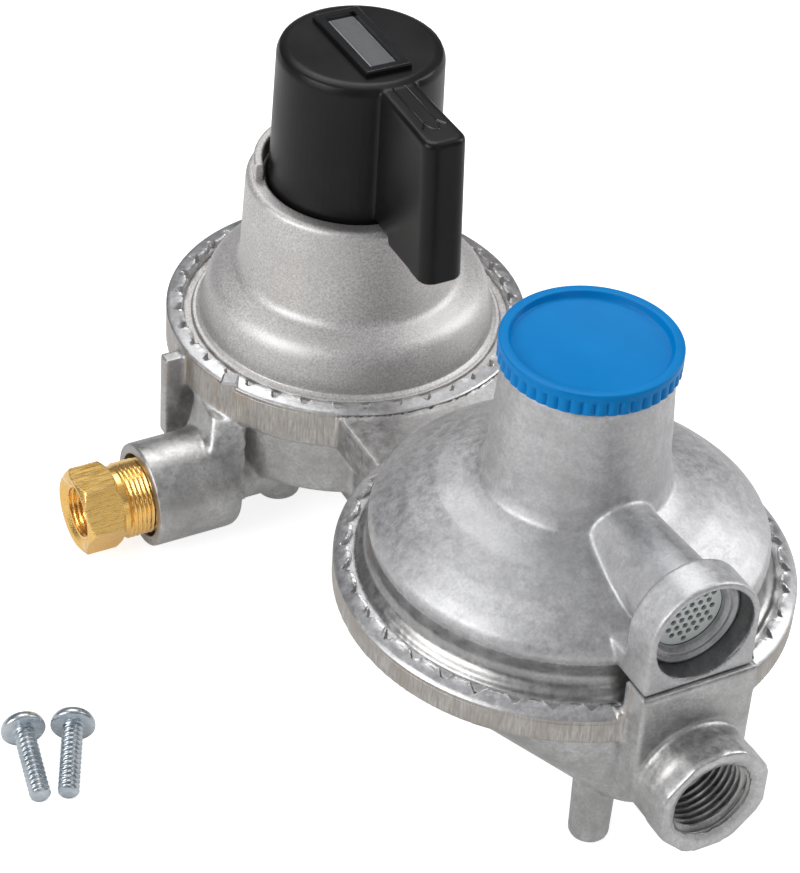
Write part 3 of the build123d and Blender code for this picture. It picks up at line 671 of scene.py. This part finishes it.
# ---------------------------------------------------------------- inlet fittings
def inlet_fitting(name, sign):
    """Brass adapter: fine outer thread, chamfered hexagon and a threaded socket for a flare nut."""
    columns = 180
    centre = Vector((STAGE_1.x, INLET_Y, INLET_Z))
    # distances from the centre plane x = 10
    root, thread_start, thread_end, hex_start, face = 44.7, 45.2, 58.0, 59.6, 67.8
    thread_pitch, thread_depth = 0.95, 0.42
    flats = 15.9 / 2
    first_corner = math.radians(58)
    back_chamfer, front_chamfer = 1.3, 1.35
    socket_r, socket_pitch, socket_depth = 5.6, 1.06, 0.45
    socket_start, socket_end = face - 0.95, face - 9.4
    bore = 1.7

    def hexagon(a):
        from_corner = (a - first_corner) % (TURN / 6)
        return flats / math.cos(from_corner - TURN / 12)

    def thread(along, crest, depth, pitch):
        def radius(a):
            phase = (along / pitch - sign * a / TURN) % 1.0
            return crest - depth * min(1.0, 1.25 * abs(2 * phase - 1))
        return radius

    rings = []

    def ring(along, radius):
        rings.append(circle(centre, "X", radius, sign * along, columns))

    ring(root, 1.8)
    ring(root, 7.4)
    steps = int((thread_end - thread_start) / thread_pitch * 7)
    for i in range(steps + 1):
        along = thread_start + (thread_end - thread_start) * i / steps
        ring(along, thread(along, THREAD_R, thread_depth, thread_pitch))
    ring(58.3, 7.5)
    ring(hex_start - 0.15, 7.45)
    ring(hex_start, 7.7)
    for i in range(9):
        along = hex_start + back_chamfer * i / 8
        cone = 8.15 + 1.45 * (along - hex_start) / back_chamfer
        ring(along, lambda a, cone=cone: min(hexagon(a), cone))
    flats_start, flats_end = hex_start + back_chamfer, face - front_chamfer
    for i in range(1, 12):
        ring(flats_start + (flats_end - flats_start) * i / 12, hexagon)
    for i in range(11):
        cone = 9.5 - 1.75 * (i / 10) ** 1.2
        ring(flats_end + front_chamfer * i / 10, lambda a, cone=cone: min(hexagon(a), cone))
    for depth, radius in ((0.0, 7.35), (0.12, 6.9), (0.35, 6.5), (0.9, 5.75)):
        ring(face - depth, radius)
    steps = 70
    for i in range(steps + 1):
        along = socket_start - (socket_start - socket_end) * i / steps
        ring(along, thread(along, socket_r, socket_depth, socket_pitch))
    ring(socket_end - 0.6, 3.2)
    ring(socket_end - 0.7, bore)
    ring(45.5, bore)
    mesh = skin_mesh(name, rings, sharp_deg=28)
    obj = add_object(name, mesh, "regulator_body", BRASS)
    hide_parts(name.replace("brass_adapter", "inlet_fitting"))


# ---------------------------------------------------------------- selector
def selector():
    """The black knob with its window and the raised pointer on its lever."""
    mesh = recast("knob_moulding", "selector_knob", 0.32, 6)
    obj = add_object("knob_moulding", mesh, "selector", KNOB)
    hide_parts("selector_knob")
    lens()
    lever_arrow()


def lens():
    """The clear window, with an opaque pale grey bevel round its upper face."""
    low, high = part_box("indicator_window")
    low, high = low / MM, high / MM
    bevel = 0.75
    rings = []
    for inset, z in ((0.0, low.z), (0.0, high.z - bevel * 0.8), (bevel, high.z)):
        left, right = low.x + inset, high.x - inset
        front, back = low.y + inset, high.y - inset
        rings.append([(left, front, z), (right, front, z), (right, back, z), (left, back, z)])
    mesh = skin_mesh("window_lens", rings, sharp_deg=30)
    # the slanted bevel faces get the opaque pale grey bevel colour
    paint(mesh, 1, lambda c, n: 0.1 < n.z < 0.9)
    obj = add_object("window_lens", mesh, "selector", [LENS, PALE_BEVEL])
    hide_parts("indicator_window")


def lever_arrow():
    """A raised pointer outline along the lever's top, with a small nub at each side of its head."""
    tip_y, tip_z, rise = 88.4, 98.5, 0.0156     # the lever's top rises slightly towards its root

    def top_z(y):
        return tip_z + (y - tip_y) * rise

    def bead(name, corners, radius, sink):
        rings = []
        for i, corner in enumerate(corners):
            here = Vector(corner)
            before = (Vector(corners[i - 1]) - here).normalized()
            after = (Vector(corners[(i + 1) % len(corners)]) - here).normalized()
            out = -(before + after).normalized() / math.sin(before.angle(after) / 2)
            ring = []
            for k in range(10):
                a = TURN * k / 10
                side = here + out * radius * math.cos(a)
                ring.append((STAGE_1.x + side.x, side.y, top_z(here.y) - sink + radius * math.sin(a)))
            rings.append(ring)
        mesh = skin_mesh(name, rings, loop=True, sharp_deg=50)
        add_object(name, mesh, "selector", BEZEL)

    half, tail, head, point = 1.45, 109.0, 95.6, 93.4
    outline = [(-half, tail), (-half, head), (-0.5, point + 0.2), (0, point), (0.5, point + 0.2),
               (half, head), (half, tail), (0.8, tail + 1.2), (0, tail + 1.6), (-0.8, tail + 1.2)]
    bead("lever_arrow", outline, 0.24, 0.08)
    nub_r, nub_lean, nub_sink = 0.36, 0.20, 0.05
    for name, side in (("arrow_nub_left", -1), ("arrow_nub_right", 1)):
        rings = []
        for x, y in ((side * half, 96.2), (side * 2.55, 94.4)):
            ring = []
            for k in range(12):
                u, v = math.cos(TURN * k / 12), math.sin(TURN * k / 12)
                z = top_z(y) - nub_sink + nub_r * v
                ring.append((STAGE_1.x + x + nub_r * u, y + nub_lean * u, z))
            rings.append(ring)
        mesh = skin_mesh(name, rings, sharp_deg=50)
        add_object(name, mesh, "selector", BEZEL)


# ---------------------------------------------------------------- cap and vent
def cap():
    """Blue closing cap: a dished face and a fluted grip that fades out below its top edge."""
    flutes = 46
    flute_depth = 0.50
    columns = flutes * 10
    top = 90.0
    low = 85.45
    outer = 16.9
    # radius, height, share of the flutes' full depth
    sections = [(13.3, 86.4, 0), (13.3, 78.6, 0), (14.1, 78.6, 0), (14.1, low + 0.02, 0),
                (outer - 0.25, low, 0.4)]
    sections += [(outer, low + 0.25 + 0.4 * i, 1.0) for i in range(6)]
    sections += [(outer, low + 2.6, 0.85), (outer, low + 2.85, 0.5), (outer, low + 3.1, 0.15),
                 (outer, low + 3.25, 0.0)]
    rim = rounded([(outer, top - 1.2, 0), (outer, top, 0.55), (15.0, top, 0.35),
                   (14.55, top - 1.35, 0.5), (0.3, top - 1.45, 0)])
    sections += [(r, z, 0.0) for r, z in rim[1:]]
    rings = []
    for r, z, groove in sections:
        def radius(a, r=r, groove=groove):
            wave = abs(math.sin(a * flutes / 2))
            return r - flute_depth * groove * (1 - min(1.0, wave * 1.1)) ** 1.2
        rings.append(circle(STAGE_2, "Z", radius, z, columns))
    mesh = skin_mesh("cap_moulding", rings, sharp_deg=50)
    obj = add_object("cap_moulding", mesh, "cap_body", BLUE)
    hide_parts("blue_cap", "cap_skirt")


def vent_retainer():
    """The stepped ring that holds the vent's screen."""
    centre = Vector((STAGE_2.x, 0, VENT_Z))
    y = VENT_FACE
    edge = VENT_BORE_R - 0.05
    corners = [(edge, y + 6.45, 0), (edge, y + 4.6, 0.3), (9.2, y + 4.3, 0.3), (8.6, y + 4.9, 0.3),
               (7.9, y + 4.9, 0.4), (7.2, y + 5.6, 0.4), (7.2, y + 6.45, 0)]
    mesh = turned_loop("vent_retainer", corners, centre, axis="Y", columns=128)
    obj = add_object("vent_retainer", mesh, "regulator_body", CAST_BONNET)
    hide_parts("vent_ring")


# ---------------------------------------------------------------- loose screws
def screw_rings():
    """Pan-head machine screw along +X, with the head's underside at x = 0."""
    columns = 96
    thread_depth = 0.44
    thread_start = 0.12
    origin = Vector((0, 0, 0))
    head = ((0.25, -2.8), (1.9, -2.8), (2.6, -2.66), (3.3, -2.35), (3.85, -1.9), (4.15, -1.4),
            (HEAD_R, -0.8), (HEAD_R, -0.25), (HEAD_R - 0.2, 0.0), (2.5, 0.0), (2.15, thread_start))
    rings = [circle(origin, "X", r, x, columns) for r, x in head]
    steps = int(SCREW_LENGTH / SCREW_PITCH * 16)
    for i in range(1, steps + 1):
        along = thread_start + (SCREW_LENGTH - 0.5) * i / steps
        fade = min(1.0, along / 1.2, (SCREW_LENGTH - along) / 0.8)

        def radius(a, along=along, fade=fade):
            phase = (along / SCREW_PITCH - a / TURN) % 1.0
            valley = 0.5 + 0.5 * math.cos(TURN * phase)
            return SHANK_R - thread_depth * valley * fade

        rings.append(circle(origin, "X", radius, along, columns))
    rings.append(circle(origin, "X", SHANK_R - 0.25, SCREW_LENGTH - 0.25, columns))
    rings.append(circle(origin, "X", SHANK_R - 0.5, SCREW_LENGTH, columns))
    rings.append(circle(origin, "X", 0.2, SCREW_LENGTH, columns))
    return rings


def loose_screw(name, node, body, x, y, heading):
    """A screw lying on the ground on its head and its tip. heading is in degrees."""
    dip = math.asin((HEAD_R - SHANK_R) / (SCREW_LENGTH + 1.1))
    turn = Matrix.Rotation(math.radians(heading), 4, "Z") @ Matrix.Rotation(dip, 4, "Y")
    rings = [[turn @ p for p in ring] for ring in screw_rings()]
    lowest = min(p.z for ring in rings for p in ring)
    move = Vector((x, y, -lowest))
    mesh = skin_mesh(name, [[p + move for p in ring] for ring in rings], sharp_deg=60)
    obj = add_object(name, mesh, body, SCREW_ZINC)
    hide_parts(node)


# ---------------------------------------------------------------- studio
def studio():
    """White paper below, a grey sky that brightens upwards, and four area lights."""
    half = 2.0
    corners = [(-half, -half, 0), (half, -half, 0), (half, half, 0), (-half, half, 0)]
    floor_mesh = bpy.data.meshes.new("floor")
    floor_mesh.from_pydata(corners, [], [(0, 1, 2, 3)])
    floor = place("floor", floor_mesh)
    floor.location.z = -0.0001
    floor_mesh.materials.append(paper())

    world = bpy.data.worlds.new("studio")
    world.use_nodes = True
    tree = world.node_tree
    background = tree.nodes["Background"]
    coords = tree.nodes.new("ShaderNodeTexCoord")
    split = tree.nodes.new("ShaderNodeSeparateXYZ")
    ramp = tree.nodes.new("ShaderNodeValToRGB")
    tree.links.new(coords.outputs["Generated"], split.inputs["Vector"])
    tree.links.new(split.outputs["Z"], ramp.inputs["Fac"])
    tree.links.new(ramp.outputs["Color"], background.inputs["Color"])
    colours = ramp.color_ramp.elements
    colours[0].position = 0.0
    colours[0].color = (0.16, 0.16, 0.17, 1)
    colours[1].position = 1.0
    colours[1].color = (0.55, 0.55, 0.56, 1)
    colours.new(0.45).color = (0.20, 0.20, 0.21, 1)
    background.inputs["Strength"].default_value = 0.9
    bpy.context.scene.world = world

    softbox("left_box", (-0.74, -0.03, 0.42), (0.55, 0.45), 4.0)
    softbox("right_box", (0.62, -0.10, 0.40), (0.22, 0.60), 2.4)
    softbox("top_box", (0.10, 0.42, 0.74), (0.50, 0.40), 2.8)
    softbox("front_box", (0.02, -0.75, 0.22), (0.20, 0.30), 0.3)


def paper():
    """Paper that glows: bright to the camera and dimmer to the object standing on it."""
    material = bpy.data.materials.new("paper")
    material.use_nodes = True
    tree = material.node_tree
    surface = tree.nodes["Principled BSDF"]
    surface.inputs["Base Color"].default_value = (0.60, 0.60, 0.60, 1)
    surface.inputs["Roughness"].default_value = 0.9
    surface.inputs["Specular IOR Level"].default_value = 0.0
    surface.inputs["Emission Color"].default_value = (1, 1, 1, 1)
    seen = tree.nodes.new("ShaderNodeLightPath")
    glow = tree.nodes.new("ShaderNodeMapRange")
    glow.inputs["To Min"].default_value = 0.25
    glow.inputs["To Max"].default_value = 0.80
    tree.links.new(seen.outputs["Is Camera Ray"], glow.inputs["Value"])
    tree.links.new(glow.outputs["Result"], surface.inputs["Emission Strength"])
    return material


def softbox(name, where, size, watts):
    """A rectangular light aimed at the object. where is in metres from the point it is aimed at."""
    light = bpy.data.lights.new(name, "AREA")
    light.shape = "RECTANGLE"
    light.size, light.size_y = size
    light.energy = watts
    obj = place(name, light)
    target = Vector((0.010, 0.070, 0.040))
    obj.location = Vector(where) + target
    obj.rotation_euler = (target - obj.location).to_track_quat("-Z", "Y").to_euler()


def camera():
    """A long lens above the front left, with a small roll."""
    azimuth, elevation, roll = (math.radians(v) for v in (-30.12, 38.31, 4.28))
    eye = Vector((-235.3, -324.0, 405.8))
    back = Vector((math.sin(azimuth) * math.cos(elevation), -math.cos(azimuth) * math.cos(elevation),
                   math.sin(elevation)))
    right = Vector((math.cos(azimuth), math.sin(azimuth), 0))
    up = back.cross(right)
    x_axis = right * math.cos(roll) + up * math.sin(roll)
    y_axis = up * math.cos(roll) - right * math.sin(roll)
    data = bpy.data.cameras.new("camera")
    data.sensor_width = 36.0
    data.lens = 123.06
    data.clip_start = 0.01
    obj = place("camera", data)
    turn = Matrix((x_axis, y_axis, back)).transposed().to_4x4()
    obj.matrix_world = Matrix.Translation(eye * MM) @ turn
    bpy.context.scene.camera = obj


# ---------------------------------------------------------------- build
dress_cad_nodes()
lower_casting()
rolled_lip("rolled_lip_first", RIM_1, 3)
rolled_lip("rolled_lip_second", RIM_2, 8)
rim_pad()
outlet_thread()
second_bonnet()
first_bonnet()
inlet_fitting("brass_adapter_left", -1)
inlet_fitting("brass_adapter_right", 1)
selector()
cap()
vent_retainer()
loose_screw("screw_one", "mounting_screw_1", "screw_1_body", -88.4, 63.6, -100.3)
loose_screw("screw_two", "mounting_screw_2", "screw_2_body", -79.4, 61.0, -115.6)
studio()
camera()
bpy.context.scene.view_settings.view_transform = "Standard"
